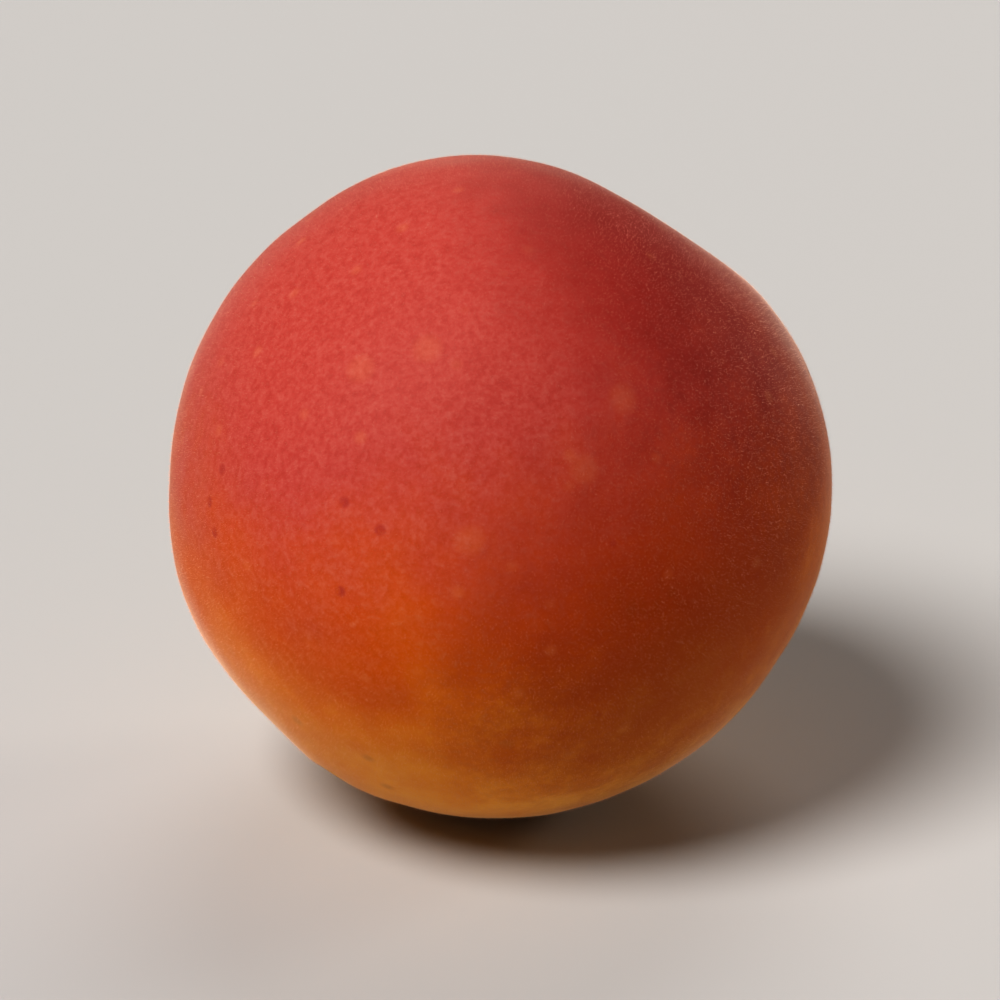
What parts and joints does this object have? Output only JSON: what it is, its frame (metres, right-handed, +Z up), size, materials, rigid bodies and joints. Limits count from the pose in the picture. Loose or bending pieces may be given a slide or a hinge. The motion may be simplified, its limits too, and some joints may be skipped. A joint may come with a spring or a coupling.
{
  "type": "apricot",
  "caption": "Whole ripe apricot, nearly round, with a hollow stem end and a suture furrow down one side, lying on a small flat spot.",
  "frame": {"origin": "middle of the small flat spot that the fruit rests on", "axes": "+Z up; -Y is the side that faces the viewer; the stem end leans up towards +X and +Y, and the suture runs down behind it, on the side of +Y and -X"},
  "size_m": [0.0612, 0.0599, 0.0611],
  "materials": {
    "apricot_skin": "fine velvety fuzz over coral red skin that turns golden orange away from the sunny side"
  },
  "bodies": {
    "root": {"apricot": "apricot_skin"}
  },
  "joints": []
}
